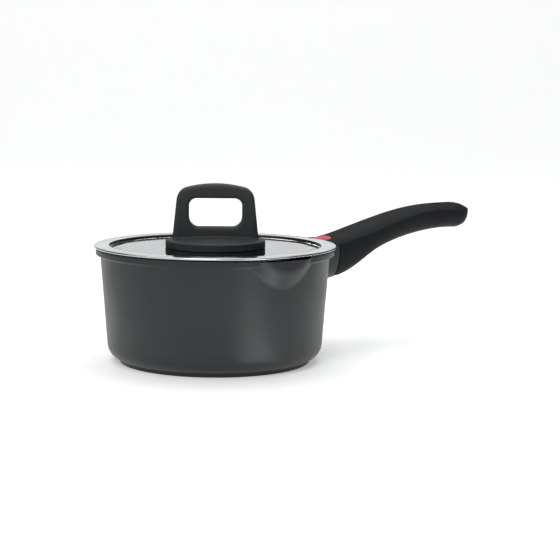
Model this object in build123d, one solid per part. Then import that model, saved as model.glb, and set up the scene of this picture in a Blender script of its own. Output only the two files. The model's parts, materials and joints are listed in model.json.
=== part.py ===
from build123d import *
import math
import os

# Cast aluminium saucepan, 18 cm across, with a glass lid and a click-off handle.
# Millimetres. Origin at the centre of the base's underside, +Z up, handle along +X,
# pouring spouts at -Y and +Y.

os.makedirs("parts", exist_ok=True)

# ---- Driving dimensions: pan -------------------------------------------------
FOOT_RADIUS = 80.0           # flat foot that stands on the hob
FOOT_HEIGHT = 2.5
FOOT_ROUNDING = 0.5
WALL_TAPER = 4.28            # degrees from vertical, opening upwards
WALL_RADIUS = 95.56          # outside of the wall at WALL_RADIUS_HEIGHT
WALL_RADIUS_HEIGHT = 86.0
CORNER_RADIUS = 13.6
RIM_HEIGHT = 95.4
WALL_THICKNESS = 4.2
FLOOR_THICKNESS = 5.5
INNER_CORNER_RADIUS = 11.0
LIP_RADIUS = 99.7            # outside of the rim band
LIP_BOTTOM = 90.2
LIP_ROOT = 86.5              # a cove under the band runs down to this height
LIP_ROUNDINGS = (1.2, 0.8, 2.2)       # top, bottom and cove
SPOUT_AXIS = 61.9            # distance of each spout's own vertical axis from the pan's
SPOUT_DIP = 1.5              # how far the spout's edge is below the rim
SPOUT_TOP = RIM_HEIGHT - SPOUT_DIP
SPOUT_REACH = 100.9          # outside of the spout's edge, from the pan's axis
SPOUT_WALL = 4.0
SPOUT_CREASE_FILLET = 12.0   # between the scoop's flank and the front of its edge
SPOUT_JUNCTION_FILLET = 6.0  # between the scoop and the wall
LIP_GAP_ANGLE = 14.6         # the rim band stops this far each side of a spout
SPOUT_OUTSIDE = ((29.0, 65.0), (32.9, 72.0), (38.0, 82.0), (43.4, SPOUT_TOP))
SPOUT_INSIDE = ((25.8, 69.0), (30.0, 76.0), (35.2, 86.0), (39.6, 97.0))

# ---- Driving dimensions: induction plate -------------------------------------
PLATE_RADIUS = 70.0
PLATE_THICKNESS = 1.0
STUD_RADIUS = 3.0            # aluminium studs that hold the plate
STUD_RINGS = ((30.0, 10), (56.0, 20))

# ---- Driving dimensions: handle ----------------------------------------------
SEAM_X = 122.0               # where the grip meets the pan's lug
SEAM_GAP = 0.3
BUFFER_THICKNESS = 0.9       # silicone pad on the grip's front face
BUFFER_INSET = 0.7
BUFFER_GAP = 0.4             # round the tongue and under the cover
HANDLE_END_X = 271.2         # centre of the rounded end
CROWN_RADIUS = 27.0          # across the top
UNDERSIDE_POWER = 2.6        # superellipse power of the rounded underside
COVER_DEPTH = 7.2            # parting line below the crown
NOSE_BOTTOM = 91.7           # underside of the cover's nose, over the lug
LUG_TOP = 91.4
LUG_START_X = 85.0           # within the wall
NOSE_FRONT = 102.4           # clear of the lid's rim
HANGING_SLOT = (257.0, 24.0, 10.0)   # centre x, length, width
GRIP_POCKETS = ((151.0, 163.0, 82.0, 90.0), (181.0, 223.0, 95.0, 103.0))   # x and floor, from and to
POCKET_HALF_WIDTH = 10.0
SIDE_ANGLES = (0, 15, 32, 50, 68)    # points on the cross-section's rounded side

# One row for each station along the handle: x, crown height, half width, underside height.
HANDLE_STATIONS = (
    (88.0, 95.4, 18.0, 59.2),
    (110.0, 98.2, 18.0, 59.8),
    (125.0, 99.9, 18.1, 62.0),
    (137.0, 102.6, 18.3, 65.2),
    (150.0, 105.8, 18.5, 71.2),
    (165.0, 109.5, 18.4, 79.9),
    (182.0, 113.5, 18.0, 87.1),
    (202.0, 117.6, 16.9, 92.5),
    (225.0, 120.8, 16.2, 96.6),
    (248.0, 122.1, 16.7, 98.9),
    (HANDLE_END_X, 122.0, 17.0, 98.8),
)

# Cutting blocks reach this far, clear of every part.
CUT_HALF_WIDTH = 30.0
CUT_BOTTOM = 50.0
CUT_TOP = 140.0
CUT_END_X = HANDLE_END_X + 30.0

# ---- Driving dimensions: lock between handle and lug --------------------------
TONGUE_BOX = (104.0, 146.0, 11.0, 74.4, 87.4)    # x from, x to, half width, z from, z to
TONGUE_SHEET = 2.0
TONGUE_BEND = 1.5
SOCKET_CLEARANCE = 0.2
SOCKET_BACK_X = 102.8
LATCH_SHEET = 1.2
LATCH_HALF_WIDTH = 6.0
LATCH_PATH = (
    (145.0, 77.0),
    (131.0, 77.0),
    (116.0, 84.8),
    (113.2, 84.8),
    (113.2, 89.4),
    (111.6, 89.4),
    (106.8, 84.2),
)
KEEPER_WINDOW = (105.6, 114.2, 6.5)      # x from, x to, half width, in the lug's roof
KEEPER_SLOT_HALF_WIDTH = 2.9             # the narrow way out for the button's stem
RIVET_XS = (135.0, 142.0)
RIVET_SHANK = 1.55                       # radius
RIVET_HOLE = 1.6
RIVET_HEAD = (2.8, 1.0)                  # radius, height
TONGUE_SCREW_X = 126.0
TONGUE_SCREW_Y = 6.5
TONGUE_SCREW = (3.6, 2.4, 2.0, 8.0)      # head radius, head height, shank radius, shank length
TONGUE_SCREW_GRIP = 5.0                  # plastic between the head and the tongue
COVER_SCREW = (3.1, 2.2, 1.6)            # head radius, head height, shank radius
COVER_SCREW_PLACES = ((172.0, 94.0, 108.0), (232.0, 104.0, 118.0), (277.5, 104.5, 118.0))   # x, seat, tip
SCREW_CLEARANCE = 0.05
COUNTERBORE_CLEARANCE = 0.3

# ---- Driving dimensions: release button ---------------------------------------
BUTTON_X = (104.8, 121.0)
BUTTON_HALF_WIDTH = 9.8
BUTTON_CORNER = 6.0
BUTTON_CLEARANCE = 0.25
BUTTON_RECESS = 0.7
BUTTON_BOTTOM = 94.3
STEM_X = (108.5, 112.4)
STEM_HALF_WIDTH = 2.4
STEM_BOTTOM = 90.15

# ---- Driving dimensions: lid ---------------------------------------------------
LID_RADIUS = 101.5
RIM_SHEET = 0.5              # steel ring pressed from this sheet and folded round the glass's edge
RIM_INNER = 88.0             # inside of the collar that is turned down to the glass
RIM_COLLAR_BOTTOM = 95.3
RIM_FLANGE_TOP = 97.75
RIM_CROWN = (98.5, 98.0)     # radius and height of the ring's highest line
RIM_EDGE_TOP = 97.85
RIM_BOTTOM = 96.2
RIM_FOLD = 98.3              # the fold ends at this radius under the glass
FLANGE_BOTTOM = 95.5         # glass, just over the pan's rim
FLANGE_REST = 97.4           # the glass is thinner beyond this radius
FLANGE_RISE = 95.0           # the flange is level inside this radius
GUTTER_RADIUS = 80.0         # the glass falls a little from here to the foot of the collar
GUTTER_DEPTH = 0.5
GLASS_TOP = 95.6
GLASS_BOTTOM = 92.0
GLASS_SHOULDER = 87.4        # outside of the part that hangs in the pan's mouth
GLASS_HOLE = 5.0

# ---- Driving dimensions: knob ---------------------------------------------------
KNOB_TURN = -35.5            # the loop's plane, turned about +Z from the handle's
KNOB_RADIUS = 41.8           # round base
KNOB_BOTTOM = 96.1
KNOB_EDGE = 102.0
KNOB_EDGE_ROUNDING = 1.6
KNOB_DOME_TOP = 104.2
KNOB_TOP = 148.8
LOOP_FOOT = 99.0
LOOP_SHOULDER = 135.0
LOOP_HALF_WIDTHS = (36.4, 32.6)       # at the foot and at the shoulder
LOOP_HALF_THICKNESSES = (9.6, 7.2)    # at the foot and at the top
LOOP_EDGE_ROUNDING = 3.2
LOOP_FOOT_FILLET = 2.2
LOOP_HOLE = (22.15, 112.6, 136.9)     # half width, z from, z to
HOLE_CORNERS = (8.5, 6.5)             # lower and upper
HOLE_EDGE_ROUNDING = 2.6
LOOP_SHOULDER_ARC = ((29.7, 142.2), (22.5, 146.1))   # a point on it, and where it meets the crown
KNOB_SCREW_RADIUS = 2.5
INSERT_RADIUS = 4.2
INSERT_TOP = 108.5
SCREW_TIP = 106.3
THREAD_CLEARANCE = 0.05
KNOB_SCREW_HEAD = (4.8, 3.0)          # radius, height
GASKET_INSET = 1.2                    # inside the base's edge
SEAL_WASHER = (9.5, 1.2)              # radius, thickness
STEEL_WASHER = (8.5, 1.0)


def outline(points):
    """Closed face through (a, b) or (a, b, r) points; r rounds that corner."""
    face = make_face(Polyline(*[point[:2] for point in points], close=True))
    for point in points:
        if len(point) == 3:
            corner = face.vertices().sort_by_distance((point[0], point[1], 0))[0]
            face = fillet(corner, radius=point[2])
    return face


def turned(points):
    """Solid of revolution about Z of an outline in radius and height."""
    return revolve(Plane.XZ * outline(points), Axis.Z)


def block(x_from, x_to, half_width, z_from, z_to):
    """Box across the centre plane."""
    size = (x_to - x_from, 2 * half_width, z_to - z_from)
    return Pos((x_from + x_to) / 2, 0, (z_from + z_to) / 2) * Box(*size)


def rod(x, y, z_from, z_to, radius):
    """Upright cylinder."""
    return Pos(x, y, z_from) * Cylinder(
        radius, z_to - z_from, align=(Align.CENTER, Align.CENTER, Align.MIN))


def side_prism(face, half_width):
    """An outline in x and z, extruded to both sides of the centre plane."""
    return extrude(Plane.XZ * face, half_width, both=True)


def wall_radius(z):
    """Outside radius of the pan's wall at height z."""
    return WALL_RADIUS - (WALL_RADIUS_HEIGHT - z) * math.tan(math.radians(WALL_TAPER))


def screw(head_radius, head_height, shank_radius, length):
    """Pan-head screw, head down at z = 0, shank upwards, with a cross recess."""
    body = rod(0, 0, 0, head_height, head_radius)
    body = fillet(body.edges().sort_by(Axis.Z)[0], radius=head_height * 0.4)
    body += rod(0, 0, head_height, head_height + length, shank_radius)
    arm = (head_radius * 1.3, head_radius * 0.24, head_height * 0.55)
    for turn in (0, 90):
        body -= Rot(0, 0, turn) * Box(*arm, align=(Align.CENTER, Align.CENTER, Align.MIN))
    return body


# ---- Handle's outer shape -------------------------------------------------------
def half_section(crown, half_width, underside):
    """Crown arc and rounded side of the cross-section where y >= 0, as two edges."""
    drop = CROWN_RADIUS - math.sqrt(CROWN_RADIUS ** 2 - half_width ** 2)
    crease = crown - drop
    depth = crease - underside
    side = []
    for angle in SIDE_ANGLES:
        t = math.radians(angle)
        across = half_width * math.cos(t) ** (2 / UNDERSIDE_POWER)
        side.append((across, crease - depth * math.sin(t) ** (2 / UNDERSIDE_POWER)))
    side.append((0, underside))
    middle = half_width / 2
    middle_height = crown - CROWN_RADIUS + math.sqrt(CROWN_RADIUS ** 2 - middle ** 2)
    top = ThreePointArc((0, crown), (middle, middle_height), side[0])
    return top, Spline(*side, tangents=((0, -1), (-1, 0)))


def section_face(x, crown, half_width, underside):
    """Whole cross-section of the handle at station x."""
    top, under = half_section(crown, half_width, underside)
    edges = [top, under, mirror(under, about=Plane.YZ), mirror(top, about=Plane.YZ)]
    return Plane.YZ.offset(x) * make_face(edges)


def handle_end():
    """Domed end: half of the last section, turned half a circle."""
    _, crown, half_width, underside = HANDLE_STATIONS[-1]
    top, under = half_section(crown, half_width, underside)
    half = Plane.YZ * make_face([top, under, Line((0, underside), (0, crown))])
    return Pos(HANDLE_END_X, 0, 0) * revolve(half, Axis.Z, -180)


def station_at(x):
    """Crown height, half width and underside height at x, in straight lines between stations."""
    for low, high in zip(HANDLE_STATIONS, HANDLE_STATIONS[1:]):
        if low[0] <= x <= high[0]:
            share = (x - low[0]) / (high[0] - low[0])
            return [a + share * (b - a) for a, b in zip(low[1:], high[1:])]
    return HANDLE_STATIONS[-1][1:]


envelope = loft([section_face(*station) for station in HANDLE_STATIONS])
envelope = envelope + handle_end()

# Everything above the parting line: flat over the lug, then parallel to the crown.
parting = [(SEAM_X, station_at(SEAM_X)[0] - COVER_DEPTH)]
parting += [(s[0], s[1] - COVER_DEPTH) for s in HANDLE_STATIONS if s[0] > SEAM_X + 4]
parting_face = make_face([
    Spline(*parting),
    Line(parting[-1], (CUT_END_X, parting[-1][1])),
    Line((CUT_END_X, parting[-1][1]), (CUT_END_X, CUT_TOP)),
    Line((CUT_END_X, CUT_TOP), (NOSE_FRONT - 2, CUT_TOP)),
    Line((NOSE_FRONT - 2, CUT_TOP), (NOSE_FRONT - 2, NOSE_BOTTOM)),
    Line((NOSE_FRONT - 2, NOSE_BOTTOM), (SEAM_X, NOSE_BOTTOM)),
    Line((SEAM_X, NOSE_BOTTOM), parting[0]),
])
above_parting = side_prism(parting_face, CUT_HALF_WIDTH)

slot_x, slot_length, slot_width = HANGING_SLOT
slot_face = Pos(slot_x, 0) * SlotOverall(slot_length, slot_width)
hanging_slot = extrude(Pos(0, 0, CUT_BOTTOM) * slot_face, CUT_TOP - CUT_BOTTOM)

# ---- Pan ---------------------------------------------------------------------
wall_solid = turned((
    (0, FOOT_HEIGHT),
    (wall_radius(FOOT_HEIGHT), FOOT_HEIGHT, CORNER_RADIUS),
    (wall_radius(RIM_HEIGHT), RIM_HEIGHT),
    (0, RIM_HEIGHT),
))
foot = turned((
    (0, 0),
    (FOOT_RADIUS, 0, FOOT_ROUNDING),
    (FOOT_RADIUS, FOOT_HEIGHT + 1),
    (0, FOOT_HEIGHT + 1),
))
lip_core = wall_radius(LIP_ROOT) - WALL_THICKNESS / 2
lip = turned((
    (lip_core, RIM_HEIGHT),
    (LIP_RADIUS, RIM_HEIGHT, LIP_ROUNDINGS[0]),
    (LIP_RADIUS, LIP_BOTTOM, LIP_ROUNDINGS[1]),
    (wall_radius(LIP_BOTTOM), LIP_BOTTOM, LIP_ROUNDINGS[2]),
    (wall_radius(LIP_ROOT), LIP_ROOT),
    (lip_core, LIP_ROOT),
))


def spout_solid(profile, top, reach):
    """Scoop about a spout's own axis, trimmed by a cylinder about the pan's axis."""
    bottom = profile[0][1]
    curve = Spline(*profile)
    face = make_face([
        curve,
        Line(profile[-1], (0, top)),
        Line((0, top), (0, bottom)),
        Line((0, bottom), profile[0]),
    ])
    scoop = Pos(0, -SPOUT_AXIS, 0) * revolve(Plane.XZ * face, Axis.Z)
    return scoop & rod(0, 0, bottom - 1, top + 1, reach)


outer_scoop = spout_solid(SPOUT_OUTSIDE, SPOUT_TOP, SPOUT_REACH)
front_edges = outer_scoop.edges().filter_by(
    lambda edge: edge.bounding_box().max.Y < SPOUT_WALL - SPOUT_REACH)
spout_crease = front_edges.sort_by(lambda edge: edge.center().Z)[0]
outer_scoop = fillet(spout_crease, radius=SPOUT_CREASE_FILLET)
inner_scoop = spout_solid(SPOUT_INSIDE, SPOUT_INSIDE[-1][1], SPOUT_REACH - SPOUT_WALL)
gap_length = LIP_RADIUS + 20
gap_reach = gap_length * math.tan(math.radians(LIP_GAP_ANGLE))
lip_gap_face = make_face(
    Polyline((0, 0), (gap_reach, -gap_length), (-gap_reach, -gap_length), close=True))
lip_gap = extrude(Pos(0, 0, LIP_ROOT - 1) * lip_gap_face, RIM_HEIGHT - LIP_ROOT + 2)


def at_spout_junction(edge):
    """True of the edge where a scoop leaves the wall."""
    box = edge.bounding_box()
    starts_low = SPOUT_OUTSIDE[0][1] < box.min.Z < SPOUT_OUTSIDE[2][1]
    return starts_low and box.max.Z < RIM_HEIGHT and edge.length > SPOUT_AXIS


pan_body = wall_solid + foot
for turn in (0, 180):
    lip -= Rot(0, 0, turn) * lip_gap
    pan_body += Rot(0, 0, turn) * outer_scoop
pan_body = fillet(pan_body.edges().filter_by(at_spout_junction), radius=SPOUT_JUNCTION_FILLET)
pan_body += lip

lug_end_x = SEAM_X - BUFFER_THICKNESS - SEAM_GAP
lug = envelope & block(LUG_START_X, lug_end_x, CUT_HALF_WIDTH, CUT_BOTTOM, LUG_TOP)
pan_body += lug

cavity = turned((
    (0, FLOOR_THICKNESS),
    (wall_radius(FLOOR_THICKNESS) - WALL_THICKNESS, FLOOR_THICKNESS, INNER_CORNER_RADIUS),
    (wall_radius(RIM_HEIGHT + 2) - WALL_THICKNESS, RIM_HEIGHT + 2),
    (0, RIM_HEIGHT + 2),
))
pan_body -= cavity
for turn in (0, 180):
    pan_body -= Rot(0, 0, turn) * inner_scoop

tongue_x0, tongue_x1, tongue_half, tongue_z0, tongue_z1 = TONGUE_BOX
socket_half = tongue_half + SOCKET_CLEARANCE
socket_z0 = tongue_z0 - SOCKET_CLEARANCE
socket_z1 = tongue_z1 + SOCKET_CLEARANCE
window_x0, window_x1, window_half = KEEPER_WINDOW
pan_body -= block(SOCKET_BACK_X, SEAM_X, socket_half, socket_z0, socket_z1)
pan_body -= block(window_x0, window_x1, window_half, socket_z1 - 1, LUG_TOP + 5)
pan_body -= block(window_x1 - 1, SEAM_X, KEEPER_SLOT_HALF_WIDTH, socket_z1 - 1, LUG_TOP + 5)

# ---- Induction plate -----------------------------------------------------------
plate_holes = Part()
for ring_radius, count in STUD_RINGS:
    for place in PolarLocations(ring_radius, count):
        plate_holes += place * rod(0, 0, -1, PLATE_THICKNESS, STUD_RADIUS)
plate_blank = rod(0, 0, 0, PLATE_THICKNESS, PLATE_RADIUS)
induction_plate = plate_blank - plate_holes
pan_body -= induction_plate

# ---- Lid ---------------------------------------------------------------------
glass_edge = LID_RADIUS - RIM_SHEET
crown_radius, crown_top = RIM_CROWN
rim_underside = (
    (RIM_FOLD, RIM_BOTTOM + RIM_SHEET),
    (glass_edge, RIM_BOTTOM + RIM_SHEET, 0.2),
    (glass_edge, RIM_EDGE_TOP - RIM_SHEET, 0.35),
    (crown_radius, crown_top - RIM_SHEET),
    (FLANGE_RISE, RIM_FLANGE_TOP - RIM_SHEET),
    (RIM_INNER + RIM_SHEET, RIM_FLANGE_TOP - RIM_SHEET, 0.2),
)
lid_rim = turned((
    (RIM_INNER, RIM_COLLAR_BOTTOM),
    (RIM_INNER, RIM_FLANGE_TOP, 0.6),
    (FLANGE_RISE, RIM_FLANGE_TOP),
    (crown_radius, crown_top),
    (LID_RADIUS, RIM_EDGE_TOP, 0.9),
    (LID_RADIUS, RIM_BOTTOM, 0.6),
    (RIM_FOLD, RIM_BOTTOM),
    *rim_underside,
    (RIM_INNER + RIM_SHEET, RIM_COLLAR_BOTTOM),
))
lid_glass = turned((
    (GLASS_HOLE, GLASS_BOTTOM),
    (GLASS_SHOULDER, GLASS_BOTTOM, 2.0),
    (GLASS_SHOULDER, FLANGE_BOTTOM, 0.8),
    (FLANGE_REST, FLANGE_BOTTOM),
    *rim_underside,
    (RIM_INNER + RIM_SHEET, GLASS_TOP - GUTTER_DEPTH),
    (GUTTER_RADIUS, GLASS_TOP, 20.0),
    (GLASS_HOLE, GLASS_TOP),
))

# ---- Knob, drawn with its loop in the XZ plane, then turned --------------------
dome_rise = KNOB_DOME_TOP - KNOB_EDGE
dome_radius = (KNOB_RADIUS ** 2 + dome_rise ** 2) / (2 * dome_rise)
knob_base = rod(0, 0, KNOB_BOTTOM, KNOB_TOP, KNOB_RADIUS)
knob_base &= Pos(0, 0, KNOB_DOME_TOP - dome_radius) * Sphere(dome_radius)
knob_rings = knob_base.edges().filter_by(lambda edge: edge.length > 2 * KNOB_RADIUS).sort_by(Axis.Z)
knob_base = fillet(knob_rings[-1], radius=KNOB_EDGE_ROUNDING)

foot_half, shoulder_half = LOOP_HALF_WIDTHS
loop_side = Line((foot_half, LOOP_FOOT), (shoulder_half, LOOP_SHOULDER))
arc_middle, arc_end = LOOP_SHOULDER_ARC
loop_shoulder = ThreePointArc((shoulder_half, LOOP_SHOULDER), arc_middle, arc_end)
loop_crown = ThreePointArc(arc_end, (0, KNOB_TOP), (-arc_end[0], arc_end[1]))
loop_face = make_face([
    loop_side,
    loop_shoulder,
    loop_crown,
    mirror(loop_shoulder, about=Plane.YZ),
    mirror(loop_side, about=Plane.YZ),
    Line((-foot_half, LOOP_FOOT), (foot_half, LOOP_FOOT)),
])
hole_half, hole_z0, hole_z1 = LOOP_HOLE
lower_corner, upper_corner = HOLE_CORNERS
hole_face = outline((
    (-hole_half, hole_z0, lower_corner),
    (hole_half, hole_z0, lower_corner),
    (hole_half, hole_z1, upper_corner),
    (-hole_half, hole_z1, upper_corner),
))
foot_thick, top_thick = LOOP_HALF_THICKNESSES
loop_taper = outline((
    (-foot_thick, LOOP_FOOT),
    (foot_thick, LOOP_FOOT),
    (top_thick, KNOB_TOP + 1.2),
    (-top_thick, KNOB_TOP + 1.2),
))
loop = side_prism(loop_face, foot_thick + 2) & extrude(Plane.YZ * loop_taper, KNOB_RADIUS, both=True)


def off_centre_plane(edge):
    return abs(edge.center().Y) > top_thick / 2


loop_rims = loop.edges().filter_by(off_centre_plane)
loop_rims = loop_rims.filter_by(lambda edge: edge.center().Z > LOOP_FOOT + 5 and edge.length > 5)
loop = fillet(loop_rims, radius=LOOP_EDGE_ROUNDING)
loop -= side_prism(hole_face, foot_thick + 2)
hole_rims = loop.edges().filter_by(off_centre_plane).filter_by(
    lambda edge: abs(edge.center().X) < hole_half + 1
    and hole_z0 - 2 < edge.center().Z < hole_z1 + 2)
loop = fillet(hole_rims, radius=HOLE_EDGE_ROUNDING)
knob = knob_base + loop


def on_dome(edge):
    """True of the edges where the loop meets the base's dome."""
    box = edge.bounding_box()
    reach = math.hypot(edge.center().X, edge.center().Y)
    return KNOB_EDGE < box.min.Z and box.max.Z < KNOB_DOME_TOP and reach < foot_half


knob = fillet(knob.edges().filter_by(on_dome), radius=LOOP_FOOT_FILLET)
knob -= rod(0, 0, KNOB_BOTTOM - 1, INSERT_TOP, INSERT_RADIUS)

knob_turn = Rot(0, 0, KNOB_TURN)
screw_bore = rod(0, 0, GLASS_BOTTOM, SCREW_TIP + 0.2, KNOB_SCREW_RADIUS + THREAD_CLEARANCE)
knob_insert = rod(0, 0, KNOB_BOTTOM, INSERT_TOP, INSERT_RADIUS) - screw_bore
knob_gasket = rod(0, 0, GLASS_TOP, KNOB_BOTTOM, KNOB_RADIUS - GASKET_INSET)
knob_gasket -= rod(0, 0, GLASS_BOTTOM, KNOB_BOTTOM + 1, GLASS_HOLE)
washer_bore = rod(0, 0, GLASS_BOTTOM - 5, GLASS_BOTTOM + 5, KNOB_SCREW_RADIUS + 0.2)
washer_top = GLASS_BOTTOM - SEAL_WASHER[1]
screw_seat = washer_top - STEEL_WASHER[1]
glass_washer = rod(0, 0, washer_top, GLASS_BOTTOM, SEAL_WASHER[0]) - washer_bore
steel_washer = rod(0, 0, screw_seat, washer_top, STEEL_WASHER[0]) - washer_bore
head_radius, head_height = KNOB_SCREW_HEAD
knob_screw = screw(head_radius, head_height, KNOB_SCREW_RADIUS, SCREW_TIP - screw_seat)
knob_screw = Pos(0, 0, screw_seat - head_height) * knob_screw

# ---- Handle --------------------------------------------------------------------
handle_part = envelope & block(NOSE_FRONT - 5, CUT_END_X, CUT_HALF_WIDTH, CUT_BOTTOM, CUT_TOP)
lid_clearance = rod(0, 0, CUT_BOTTOM, CUT_TOP, NOSE_FRONT)
handle_cover = handle_part & above_parting
handle_cover = handle_cover - lid_clearance - hanging_slot
behind_seam = block(SEAM_X, CUT_END_X, CUT_HALF_WIDTH, CUT_BOTTOM, CUT_TOP)
handle_grip = (handle_part & behind_seam) - above_parting
handle_grip -= hanging_slot

button_x0, button_x1 = BUTTON_X
button_plan = RectangleRounded(button_x1 - button_x0, 2 * BUTTON_HALF_WIDTH, BUTTON_CORNER)
button_centre = (button_x0 + button_x1) / 2
pocket_plan = offset(button_plan, BUTTON_CLEARANCE)
handle_cover -= extrude(Pos(button_centre, 0, CUT_BOTTOM) * pocket_plan, CUT_TOP - CUT_BOTTOM)

handle_grip -= block(SEAM_X - 1, tongue_x1 + SOCKET_CLEARANCE, tongue_half, tongue_z0, CUT_TOP)
for x_from, x_to, floor_from, floor_to in GRIP_POCKETS:
    pocket = outline(((x_from, floor_from), (x_to, floor_to), (x_to, CUT_TOP), (x_from, CUT_TOP)))
    handle_grip -= side_prism(pocket, POCKET_HALF_WIDTH)

# Steel tongue: a channel, open at the top
tongue = block(tongue_x0, tongue_x1, tongue_half, tongue_z0, tongue_z1)
tongue = fillet(tongue.edges().filter_by(Axis.X).sort_by(Axis.Z)[:2], radius=TONGUE_BEND)
tongue -= block(tongue_x0 - 1, tongue_x1 + 1, tongue_half - TONGUE_SHEET,
                tongue_z0 + TONGUE_SHEET, tongue_z1 + 1)


# Sprung latch: a strip that follows LATCH_PATH, with round bends
def strip_face(path, thickness):
    """Outline of a bent strip of even thickness about a centre line."""
    face = Sketch()
    for (x0, z0), (x1, z1) in zip(path, path[1:]):
        length = math.hypot(x1 - x0, z1 - z0)
        turn = math.degrees(math.atan2(z1 - z0, x1 - x0))
        run = Pos((x0 + x1) / 2, (z0 + z1) / 2) * Rot(0, 0, turn) * Rectangle(length, thickness)
        face += run
    for x, z in path[1:-1]:
        face += Pos(x, z) * Circle(thickness / 2)
    return face


latch = side_prism(strip_face(LATCH_PATH, LATCH_SHEET), LATCH_HALF_WIDTH)

rivet_radius, rivet_rise = RIVET_HEAD
rivet_bottom = tongue_z0 - rivet_rise
rivet_top = tongue_z0 + TONGUE_SHEET + LATCH_SHEET
latch_rivets = Part()
for x in RIVET_XS:
    rivet_hole = rod(x, 0, rivet_bottom, rivet_top + 1, RIVET_HOLE)
    latch -= rivet_hole
    tongue -= rivet_hole
    handle_grip -= rod(x, 0, rivet_bottom - 0.2, tongue_z0 + 1, rivet_radius + 0.2)
    latch_rivets += (rod(x, 0, rivet_bottom + 0.2, rivet_top + rivet_rise - 0.1, RIVET_SHANK)
                     + rod(x, 0, rivet_bottom, tongue_z0, rivet_radius)
                     + rod(x, 0, rivet_top, rivet_top + rivet_rise, rivet_radius))

# Silicone pad between the grip and the lug
seam_crown, seam_half, seam_underside = station_at(SEAM_X)
buffer_face = section_face(
    SEAM_X, seam_crown, seam_half - BUFFER_INSET, seam_underside + BUFFER_INSET)
seam_buffer = extrude(buffer_face, BUFFER_THICKNESS, dir=(-1, 0, 0))
seam_buffer &= block(SEAM_X - 5, SEAM_X + 5, CUT_HALF_WIDTH, CUT_BOTTOM, NOSE_BOTTOM - BUFFER_GAP)
seam_buffer -= block(
    SEAM_X - 5, SEAM_X + 5, tongue_half + BUFFER_GAP, tongue_z0 - BUFFER_GAP, CUT_TOP)

# Screws that come up from below: through the grip into the tongue, and into the cover
tongue_screws = Part()
head_radius, head_height, shank_radius, shank_length = TONGUE_SCREW
seat = tongue_z0 - TONGUE_SCREW_GRIP
for y in (-TONGUE_SCREW_Y, TONGUE_SCREW_Y):
    handle_grip -= rod(TONGUE_SCREW_X, y, 0, seat, head_radius + COUNTERBORE_CLEARANCE)
    handle_grip -= rod(TONGUE_SCREW_X, y, seat, tongue_z0, shank_radius + SCREW_CLEARANCE)
    tongue -= rod(TONGUE_SCREW_X, y, tongue_z0 - 1, tongue_z0 + TONGUE_SHEET + 1,
                  shank_radius + SCREW_CLEARANCE)
    tongue_screws += Pos(TONGUE_SCREW_X, y, seat - head_height) * screw(*TONGUE_SCREW)

cover_screws = Part()
head_radius, head_height, shank_radius = COVER_SCREW
for x, seat, tip in COVER_SCREW_PLACES:
    handle_grip -= rod(x, 0, 0, seat, head_radius + COUNTERBORE_CLEARANCE)
    handle_grip -= rod(x, 0, seat, CUT_TOP, shank_radius + SCREW_CLEARANCE)
    handle_cover -= rod(x, 0, seat, tip + 0.4, shank_radius + SCREW_CLEARANCE)
    cover_screws += Pos(x, 0, seat - head_height) * screw(*COVER_SCREW, tip - seat)

# ---- Release button ---------------------------------------------------------------
button_prism = extrude(Pos(button_centre, 0, BUTTON_BOTTOM) * button_plan, CUT_TOP - BUTTON_BOTTOM)
release_button = (Pos(0, 0, -BUTTON_RECESS) * envelope) & button_prism
release_button += block(*STEM_X, STEM_HALF_WIDTH, STEM_BOTTOM, BUTTON_BOTTOM + 0.5)

# ---- Output ------------------------------------------------------------------------
NODES = {
    "pan_body": pan_body,
    "induction_plate": induction_plate,
    "lid_glass": lid_glass,
    "lid_rim": lid_rim,
    "knob": knob_turn * knob,
    "knob_insert": knob_insert,
    "knob_gasket": knob_turn * knob_gasket,
    "glass_washer": glass_washer,
    "steel_washer": steel_washer,
    "knob_screw": knob_screw,
    "handle_grip": handle_grip,
    "handle_cover": handle_cover,
    "handle_tongue": tongue,
    "seam_buffer": seam_buffer,
    "sprung_latch": latch,
    "latch_rivets": latch_rivets,
    "tongue_screws": tongue_screws,
    "cover_screws": cover_screws,
    "release_button": release_button,
}

for name, shape in NODES.items():
    export_step(shape, f"parts/{name}.step")
    print(name, round(shape.volume), "mm3")
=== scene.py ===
"""A saucepan with a glass lid and a take-off handle: its finishes, the studio light and the camera.

Lengths are in metres and angles in radians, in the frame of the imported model: +Z is up, the handle
points along +X, and the pan stands on z = 0 with its axis at the origin.
"""

import json
from math import cos, pi, radians, sin

import bpy
from mathutils import Matrix, Vector


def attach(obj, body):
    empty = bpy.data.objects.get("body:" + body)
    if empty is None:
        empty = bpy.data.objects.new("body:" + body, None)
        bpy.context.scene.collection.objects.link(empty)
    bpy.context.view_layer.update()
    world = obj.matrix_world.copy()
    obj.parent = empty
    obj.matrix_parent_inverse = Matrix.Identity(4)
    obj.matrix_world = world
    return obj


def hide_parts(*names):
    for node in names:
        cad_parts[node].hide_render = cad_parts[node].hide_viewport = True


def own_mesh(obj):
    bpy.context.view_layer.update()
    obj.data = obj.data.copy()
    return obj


MILLIMETRE = 0.001

# The camera: where it stands round the pan's axis, how high, and where it looks.
CAMERA_AZIMUTH = radians(-35.5)
CAMERA_DISTANCE = 1.28175
CAMERA_HEIGHT = 0.24012
CAMERA_TURN = radians(2.433)
CAMERA_PITCH = radians(-7.643)
CAMERA_ROLL = 0.01095
CAMERA_LENS_MM = 98.88
SENSOR_MM = 36.0

# The floor, and the sweep that rises behind the pan.
FLOOR_WIDTH = 9.0
FLOOR_FRONT = 4.0
FLOOR_BACK = 2.4
SWEEP_RADIUS = 1.6
SWEEP_HEIGHT = 3.4
SWEEP_STEPS = 24

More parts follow.
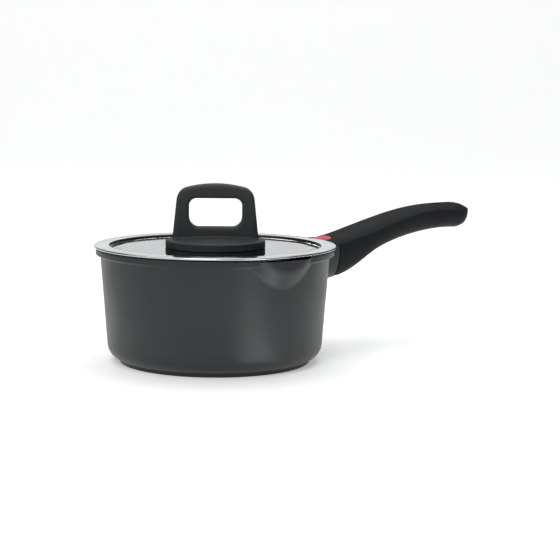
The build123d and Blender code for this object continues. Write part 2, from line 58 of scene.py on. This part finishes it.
# Linear colours: each finish's own, the one that clouds or dulls it, and the one on its rubbed edges.
COATING = (0.0150, 0.0158, 0.0172, 1)
COATING_FLECK = (0.024, 0.0255, 0.0275, 1)
COATING_WORN = (0.055, 0.057, 0.06, 1)
PLASTIC = (0.038, 0.039, 0.042, 1)
PLASTIC_MOTTLE = (0.045, 0.046, 0.050, 1)
PLASTIC_WORN = (0.060, 0.062, 0.066, 1)
COAT = (0.0105, 0.011, 0.012, 1)
COAT_MOTTLE = (0.0135, 0.014, 0.0155, 1)
COAT_WORN = (0.024, 0.025, 0.028, 1)
RED = (0.66, 0.060, 0.100, 1)
RED_DEEP = (0.60, 0.048, 0.085, 1)
RED_WORN = (0.78, 0.16, 0.18, 1)
STEEL = (0.64, 0.65, 0.655, 1)
STEEL_DULL = (0.55, 0.56, 0.565, 1)
# Painted shade: the dark colour of the turned-down collar of the lid's ring.
COLLAR_PAINTED_SHADE = (0.10, 0.095, 0.090, 1)
PLATE = (0.56, 0.56, 0.56, 1)
PLATE_DULL = (0.44, 0.44, 0.45, 1)
SPRING = (0.48, 0.48, 0.50, 1)
SPRING_DULL = (0.36, 0.35, 0.35, 1)
FASTENER = (0.62, 0.62, 0.61, 1)
FASTENER_DULL = (0.46, 0.46, 0.46, 1)
BRASS = (0.74, 0.55, 0.26, 1)
BRASS_DULL = (0.60, 0.42, 0.18, 1)
SILICONE = (0.020, 0.020, 0.021, 1)
SILICONE_DUST = (0.034, 0.034, 0.035, 1)
GLASS = (0.62, 0.66, 0.67, 1)
GLASS_TINT = (0.59, 0.64, 0.65, 1)
FLOOR_PALE = (0.90, 0.90, 0.90, 1)
FLOOR_MARBLED = (0.885, 0.885, 0.885, 1)
FLOOR_GLOW = (1.0, 1.0, 1.0, 1)

# The parts of the black moulding that have the soft-touch coat over it.
COATED_NODES = ("handle_grip", "handle_cover")

# The lid's ring has painted shade, and is rougher, up to the first of these radii, and is plain polished
# steel from the second.
COLLAR_RADII = (0.0885, 0.0891)
COLLAR_DULLNESS = 0.3

# An edge is rubbed from none to fully between these cosines of its softened to its true normal.
EDGE_COSINES = (0.995, 0.86)

# The sweep glows: more behind the pan, and not far out to the sides or high up. The strengths are
# those at the two depths behind the pan's axis, and the glow fades out between the two distances to
# the side, which grow with the depth, and between the two heights.
GLOW_DEPTHS = (0.0, 1.6)
GLOW_STRENGTHS = (0.36, 0.74)
GLOW_SIDES = (0.40, 0.85)
GLOW_WIDENING = -0.3
GLOW_HEIGHTS = (0.7, 1.3)
ROOM = (0.95, 0.97, 1.0, 1)
ROOM_STRENGTH = 0.12

# What the softboxes face, and a row for each: name, degrees to the right of the camera, distance,
# height, how wide and how tall it is, and watts to the square metre.
LAMPS_AIM = Vector((0, 0, 0.07))
SOFTBOXES = (
    ("overhead", 180, 0.3, 1.15, 1.3, 1.2, 8.0),
    ("left_wall", -60, 2.4, 1.0, 2.2, 1.8, 2.2),
    ("front_fill", -15, 1.8, 1.6, 1.2, 1.0, 15.0),
)

# A lamp on the floor: name, degrees to the right of the camera, where it starts and ends, width, brightness.
FLOOR_STRIP = ("right_strip", 31, 0.11, 0.85, 0.06, 5.5)


class Finish:
    """A Principled material, built up one node at a time."""

    def __init__(self, name, **sockets):
        self.material = bpy.data.materials.new(name)
        self.material.use_nodes = True
        self.tree = self.material.node_tree
        self.shader = self.tree.nodes["Principled BSDF"]
        for socket, value in sockets.items():
            self.shader.inputs[socket.replace("_", " ")].default_value = value
        self.place = self.node("ShaderNodeTexCoord").outputs["Object"]

    def node(self, kind, *inputs, **settings):
        """Adds a node. Inputs are numbers, colours or other nodes' outputs, in the node's own order."""
        made = self.tree.nodes.new(kind)
        for setting, value in settings.items():
            setattr(made, setting, value)
        for socket, value in zip(made.inputs, inputs):
            self.feed(socket, value)
        return made

    def feed(self, socket, value):
        """Links an output to a socket, or sets the socket's own value. None leaves it as it is."""
        if isinstance(value, bpy.types.NodeSocket):
            self.tree.links.new(value, socket)
        elif value is not None:
            socket.default_value = value

    def noise(self, grain, detail=2.0, at=None):
        """Soft noise from 0 to 1 whose grain is that many metres across."""
        made = self.node("ShaderNodeTexNoise")
        self.feed(made.inputs["Vector"], at or self.place)
        made.inputs["Scale"].default_value = 1 / grain
        made.inputs["Detail"].default_value = detail
        return made.outputs["Fac"]

    def cells(self, grain):
        """The distance to the nearest of many scattered points that far apart."""
        made = self.node("ShaderNodeTexVoronoi")
        self.feed(made.inputs["Vector"], self.place)
        made.inputs["Scale"].default_value = 1 / grain
        return made.outputs["Distance"]

    def stretched(self, along):
        """The place scaled by along = (x, y, z), so that noise there is drawn out."""
        made = self.node("ShaderNodeVectorMath", self.place, along, operation="MULTIPLY")
        return made.outputs["Vector"]

    def math(self, operation, a, b=0.0):
        """One sum on two numbers, named as the Math node names it."""
        return self.node("ShaderNodeMath", a, b, operation=operation).outputs["Value"]

    def spread(self, value, low, high, to_low, to_high):
        """value's range from low to high, held at its ends, made to_low to to_high."""
        made = self.node("ShaderNodeMapRange", value, low, high, to_low, to_high)
        return made.outputs["Result"]

    def uneven(self, first, second, low, high, reach=0.3):
        """low to high as the sum of two noises goes from 1 - reach to 1 + reach."""
        return self.spread(self.math("ADD", first, second), 1 - reach, 1 + reach, low, high)

    def blend(self, factor, first, second):
        """A colour from first, at factor 0, to second, at factor 1."""
        made = self.node("ShaderNodeMix", data_type="RGBA")
        self.feed(made.inputs["Factor"], factor)
        for socket, value in (("A", first), ("B", second)):
            found = [s for s in made.inputs if s.name == socket and s.type == "RGBA"]
            self.feed(found[0], value)
        return [s for s in made.outputs if s.type == "RGBA"][0]

    def radius(self):
        """The distance from the pan's axis."""
        flat = self.stretched((1, 1, 0))
        return self.node("ShaderNodeVectorMath", flat, operation="LENGTH").outputs["Value"]

    def rings(self, pitch):
        """Noise that changes only with the distance from the axis, as on a turned face."""
        made = self.node("ShaderNodeTexNoise", noise_dimensions="1D")
        self.feed(made.inputs["W"], self.radius())
        made.inputs["Scale"].default_value = 1 / pitch
        made.inputs["Detail"].default_value = 3.0
        return made.outputs["Fac"]

    def edges(self, width):
        """1 on the sharp edges of the shape, within about that width, and 0 elsewhere."""
        softened = self.node("ShaderNodeBevel", width, samples=4).outputs["Normal"]
        true = self.node("ShaderNodeNewGeometry").outputs["Normal"]
        made = self.node("ShaderNodeVectorMath", softened, true, operation="DOT_PRODUCT")
        return self.spread(made.outputs["Value"], *EDGE_COSINES, 0.0, 1.0)

    def colour(self, value):
        self.feed(self.shader.inputs["Base Color"], value)

    def roughness(self, value):
        self.feed(self.shader.inputs["Roughness"], value)

    def bump(self, *layers):
        """Raises the surface by layers of (height from 0 to 1, metres at height 1)."""
        normal = None
        for height, distance in layers:
            made = self.node("ShaderNodeBump")
            made.inputs["Distance"].default_value = distance
            self.feed(made.inputs["Height"], height)
            self.feed(made.inputs["Normal"], normal)
            normal = made.outputs["Normal"]
        self.feed(self.shader.inputs["Normal"], normal)


def pan_coating():
    """A sprayed and baked dark grey coating, satin, a little lighter where edges have rubbed."""
    f = Finish("pan_coating_finish", Roughness=0.4, Specular_IOR_Level=0.45)
    fleck = f.spread(f.cells(1.1 * MILLIMETRE), 0.10, 0.32, 1.0, 0.0)
    cloud = f.noise(26 * MILLIMETRE, 3.0)
    base = f.blend(f.math("MULTIPLY", fleck, cloud), COATING, COATING_FLECK)
    rubbed = f.math("MULTIPLY", f.edges(0.9 * MILLIMETRE), f.noise(3 * MILLIMETRE))
    f.colour(f.blend(rubbed, base, COATING_WORN))
    f.roughness(f.uneven(cloud, f.noise(0.7 * MILLIMETRE), 0.36, 0.46))
    spray = f.noise(0.45 * MILLIMETRE, 3.0)
    casting = f.noise(5 * MILLIMETRE)
    f.bump((spray, 0.02 * MILLIMETRE), (casting, 0.02 * MILLIMETRE))
    return f.material


def moulded(name, colours, specular, cloud_grain, rough_low, rough_high, grain, grain_depth):
    """Grained plastic that clouds between its first two colours, with the third on its rubbed edges."""
    plain, mottle, worn = colours
    f = Finish(name, Specular_IOR_Level=specular)
    cloud = f.noise(cloud_grain, 3.0)
    rubbed = f.math("MULTIPLY", f.edges(0.5 * MILLIMETRE), f.noise(2 * MILLIMETRE))
    f.colour(f.blend(rubbed, f.blend(cloud, plain, mottle), worn))
    f.roughness(f.uneven(cloud, f.noise(0.6 * MILLIMETRE), rough_low, rough_high))
    f.bump((f.noise(grain, 2.0), grain_depth))
    return f.material


def black_plastic():
    """Moulded plastic with a fine spark-eroded grain."""
    return moulded("black_plastic_finish", (PLASTIC, PLASTIC_MOTTLE, PLASTIC_WORN), 0.2,
                   14 * MILLIMETRE, 0.48, 0.60, 0.35 * MILLIMETRE, 0.022 * MILLIMETRE)


def soft_touch():
    """The handle's coat over the same moulding: darker, matter and finer grained."""
    return moulded("soft_touch_finish", (COAT, COAT_MOTTLE, COAT_WORN), 0.13,
                   18 * MILLIMETRE, 0.54, 0.66, 0.3 * MILLIMETRE, 0.018 * MILLIMETRE)


def red_plastic():
    """Self-coloured red plastic, satin, paler where the thumb has rubbed its edges."""
    f = Finish("red_plastic_finish", Roughness=0.35, Specular_IOR_Level=0.75)
    cloud = f.noise(4 * MILLIMETRE, 2.0)
    rubbed = f.math("MULTIPLY", f.edges(0.4 * MILLIMETRE), cloud)
    f.colour(f.blend(rubbed, f.blend(cloud, RED, RED_DEEP), RED_WORN))
    f.roughness(f.spread(cloud, 0.3, 0.7, 0.32, 0.42))
    f.bump((f.noise(0.3 * MILLIMETRE), 0.012 * MILLIMETRE))
    return f.material


def metal(name, bright, dull, rough_low, rough_high, lines, line_depth, smear_grain):
    """Bare metal: lines is the noise that its tool marks follow, and smears dull it in patches."""
    f = Finish(name, Metallic=1.0, Roughness=rough_low)
    marks = lines(f)
    smear = f.noise(smear_grain, 3.0)
    rubbed = f.math("MULTIPLY", f.edges(0.3 * MILLIMETRE), 0.6)
    f.colour(f.blend(rubbed, f.blend(f.math("MULTIPLY", smear, marks), bright, dull), bright))
    f.roughness(f.uneven(marks, smear, rough_low, rough_high, 0.4))
    f.bump((marks, line_depth))
    return f.material


def polished_steel():
    """The lid's ring: spun and polished, with painted shade, and more roughness, where it turns down."""
    f = Finish("polished_steel_finish", Metallic=1.0, Roughness=0.16)
    marks = f.rings(0.25 * MILLIMETRE)
    smear = f.noise(22 * MILLIMETRE, 3.0)
    # Painted shade: the ring takes the dark collar colour inside the first of the collar radii.
    unshaded_flange = f.spread(f.radius(), *COLLAR_RADII, 0.0, 1.0)
    polished = f.blend(f.math("MULTIPLY", smear, marks), STEEL, STEEL_DULL)
    f.colour(f.blend(unshaded_flange, COLLAR_PAINTED_SHADE, polished))
    shine = f.uneven(marks, smear, 0.12, 0.24, 0.4)
    f.roughness(f.math("ADD", shine, f.spread(unshaded_flange, 0.0, 1.0, COLLAR_DULLNESS, 0.0)))
    f.bump((marks, 0.0008 * MILLIMETRE))
    return f.material


def plate_steel():
    """Turned and stamped stainless sheet, duller, with coarser rings."""
    return metal("plate_steel_finish", PLATE, PLATE_DULL, 0.28, 0.42,
                 lambda f: f.rings(0.5 * MILLIMETRE), 0.006 * MILLIMETRE, 18 * MILLIMETRE)


def spring_steel():
    """Cold-rolled spring strip, with its grain along its length."""
    return metal("spring_steel_finish", SPRING, SPRING_DULL, 0.3, 0.45,
                 lambda f: f.noise(0.2 * MILLIMETRE, 2.0, f.stretched((0.04, 1, 1))),
                 0.004 * MILLIMETRE, 5 * MILLIMETRE)


def fasteners():
    """Small stainless screws, rivets and washers, lightly tumbled."""
    return metal("fastener_finish", FASTENER, FASTENER_DULL, 0.24, 0.4,
                 lambda f: f.noise(0.25 * MILLIMETRE, 2.0), 0.006 * MILLIMETRE, 3 * MILLIMETRE)


def brass():
    """A turned brass insert."""
    return metal("brass_finish", BRASS, BRASS_DULL, 0.25, 0.4,
                 lambda f: f.noise(0.2 * MILLIMETRE, 2.0, f.stretched((0.2, 0.2, 1))),
                 0.006 * MILLIMETRE, 4 * MILLIMETRE)


def silicone():
    """Matt black silicone with a trace of dust in its pores."""
    f = Finish("silicone_finish", Roughness=0.7, Specular_IOR_Level=0.4)
    pores = f.noise(0.4 * MILLIMETRE, 3.0)
    dust = f.math("MULTIPLY", pores, f.noise(8 * MILLIMETRE, 2.0))
    f.colour(f.blend(dust, SILICONE, SILICONE_DUST))
    f.roughness(f.spread(pores, 0.3, 0.7, 0.62, 0.78))
    f.bump((pores, 0.02 * MILLIMETRE))
    return f.material


def lid_glass():
    """Clear toughened glass: polished, with the faint unevenness and wipe marks of use."""
    f = Finish("lid_glass_finish", Roughness=0.0, Transmission_Weight=1.0, IOR=1.47)
    wipes = f.noise(30 * MILLIMETRE, 4.0, f.stretched((1, 2.2, 1)))
    f.colour(f.blend(wipes, GLASS, GLASS_TINT))
    f.roughness(f.spread(wipes, 0.35, 0.75, 0.0, 0.035))
    f.bump((f.noise(38 * MILLIMETRE, 1.0), 0.02 * MILLIMETRE))
    return f.material


def floor_finish():
    """A pale matt sweep with a trace of unevenness."""
    f = Finish("studio_floor_finish", Roughness=0.75, Specular_IOR_Level=0.2)
    cloud = f.noise(0.35, 2.0)
    f.colour(f.blend(cloud, FLOOR_PALE, FLOOR_MARBLED))
    f.feed(f.shader.inputs["Emission Color"], FLOOR_GLOW)
    across, behind, up = f.node("ShaderNodeSeparateXYZ", f.place).outputs
    aside = f.math("ADD", f.math("ABSOLUTE", across), f.math("MULTIPLY", behind, GLOW_WIDENING))
    near = f.math("MULTIPLY", f.spread(aside, *GLOW_SIDES, 1.0, 0.0), f.spread(up, *GLOW_HEIGHTS, 1.0, 0.0))
    glow = f.math("MULTIPLY", near, f.spread(behind, *GLOW_DEPTHS, *GLOW_STRENGTHS))
    f.feed(f.shader.inputs["Emission Strength"], glow)
    f.bump((f.noise(4 * MILLIMETRE), 0.01 * MILLIMETRE))
    return f.material


FINISHES = {
    "pan_coating": pan_coating,
    "plate_steel": plate_steel,
    "polished_steel": polished_steel,
    "spring_steel": spring_steel,
    "fasteners": fasteners,
    "lid_glass": lid_glass,
    "black_plastic": black_plastic,
    "red_plastic": red_plastic,
    "silicone": silicone,
    "brass": brass,
}


def dress_nodes(frame):
    """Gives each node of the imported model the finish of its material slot, or the coat over it."""
    made = {slot: build() for slot, build in FINISHES.items()}
    coat = soft_touch()
    for part in frame["record"]["subparts"]:
        name = part["node"]
        materials = frame["nodes"][name].data.materials
        materials.clear()
        materials.append(coat if name in COATED_NODES else made[part["material_slot"]])


def make_latch(frame):
    """The latch, once it has its finish, copied into an object of its own on the handle, with the imported
    one hidden.
    """
    rigid = frame["nodes"]["sprung_latch"]
    strip = bpy.data.objects.new("giving_latch", rigid.data.copy())
    bpy.context.scene.collection.objects.link(strip)
    strip.matrix_world = rigid.matrix_world
    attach(strip, "handle")
    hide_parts("sprung_latch")
    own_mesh(strip)


def around(turn, distance, height):
    """A point that far from the pan's axis, turned to the right of the camera as the camera sees it."""
    azimuth = CAMERA_AZIMUTH + turn
    return Vector((distance * sin(azimuth), -distance * cos(azimuth), height))


def make_camera():
    """The camera, with a long lens, a little above the lid."""
    data = bpy.data.cameras.new("camera")
    data.sensor_width = SENSOR_MM
    data.lens = CAMERA_LENS_MM
    data.clip_start = 0.05
    data.clip_end = 50.0
    camera = bpy.data.objects.new("camera", data)
    bpy.context.scene.collection.objects.link(camera)
    heading = Matrix.Rotation(CAMERA_AZIMUTH - CAMERA_TURN, 4, "Z")
    tilt = Matrix.Rotation(pi / 2 + CAMERA_PITCH, 4, "X")
    roll = Matrix.Rotation(CAMERA_ROLL, 4, "Z")
    place = Matrix.Translation(around(0, CAMERA_DISTANCE, CAMERA_HEIGHT))
    camera.matrix_world = place @ heading @ tilt @ roll
    bpy.context.scene.camera = camera


def lamp(name, width, tall, brightness):
    """A rectangular lamp, still to be placed, that shines along its own -Z."""
    data = bpy.data.lights.new(name, "AREA")
    data.shape = "RECTANGLE"
    data.size = width
    data.size_y = tall
    data.energy = brightness * width * tall
    made = bpy.data.objects.new(name, data)
    bpy.context.scene.collection.objects.link(made)
    return made


def softbox(name, turn_deg, distance, height, width, tall, brightness):
    """A lamp turned that far to the right of the camera, facing the pan."""
    spot = around(radians(turn_deg), distance, height)
    facing = (LAMPS_AIM - spot).to_track_quat("-Z", "Y").to_matrix().to_4x4()
    lamp(name, width, tall, brightness).matrix_world = Matrix.Translation(spot) @ facing


def floor_strip(name, turn_deg, start, end, width, brightness):
    """A lamp lying on the floor, out from the pan's foot, that the wall mirrors as a soft upright band."""
    turn = radians(turn_deg)
    place = Matrix.Translation(around(turn, (start + end) / 2, MILLIMETRE))
    heading = Matrix.Rotation(CAMERA_AZIMUTH + turn, 4, "Z")
    facing_up = Matrix.Rotation(pi, 4, "X")
    lamp(name, width, end - start, brightness).matrix_world = place @ heading @ facing_up


def make_floor():
    """The floor and the sweep behind it, one curved sheet across the camera's view."""
    profile = [(-FLOOR_FRONT, 0.0), (FLOOR_BACK, 0.0)]
    for step in range(1, SWEEP_STEPS + 1):
        bend = pi / 2 * step / SWEEP_STEPS
        profile.append((FLOOR_BACK + SWEEP_RADIUS * sin(bend), SWEEP_RADIUS * (1 - cos(bend))))
    profile.append((FLOOR_BACK + SWEEP_RADIUS, SWEEP_HEIGHT))
    corners = [(x, y, z) for y, z in profile for x in (-FLOOR_WIDTH / 2, FLOOR_WIDTH / 2)]
    faces = [(2 * i, 2 * i + 1, 2 * i + 3, 2 * i + 2) for i in range(len(profile) - 1)]
    mesh = bpy.data.meshes.new("studio_floor")
    mesh.from_pydata(corners, [], faces)
    mesh.shade_smooth()
    mesh.materials.append(floor_finish())
    floor = bpy.data.objects.new("studio_floor", mesh)
    bpy.context.scene.collection.objects.link(floor)
    floor.matrix_world = Matrix.Rotation(CAMERA_AZIMUTH, 4, "Z")


def light_studio():
    """A dim, pale room, the softboxes that face the pan, and a strip of light on the floor."""
    scene = bpy.context.scene
    scene.view_settings.view_transform = "Standard"
    world = bpy.data.worlds.new("studio")
    world.use_nodes = True
    room = world.node_tree.nodes["Background"]
    room.inputs["Color"].default_value = ROOM
    room.inputs["Strength"].default_value = ROOM_STRENGTH
    scene.world = world
    for numbers in SOFTBOXES:
        softbox(*numbers)
    floor_strip(*FLOOR_STRIP)


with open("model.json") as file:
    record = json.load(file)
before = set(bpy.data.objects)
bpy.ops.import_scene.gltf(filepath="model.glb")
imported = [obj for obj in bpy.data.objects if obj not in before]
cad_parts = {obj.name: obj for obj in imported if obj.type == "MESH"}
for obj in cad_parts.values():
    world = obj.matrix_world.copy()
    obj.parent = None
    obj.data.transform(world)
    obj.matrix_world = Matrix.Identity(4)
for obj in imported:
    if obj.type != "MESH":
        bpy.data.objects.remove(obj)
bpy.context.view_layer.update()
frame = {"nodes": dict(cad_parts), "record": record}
make_camera()
dress_nodes(frame)
make_latch(frame)
make_floor()
light_studio()
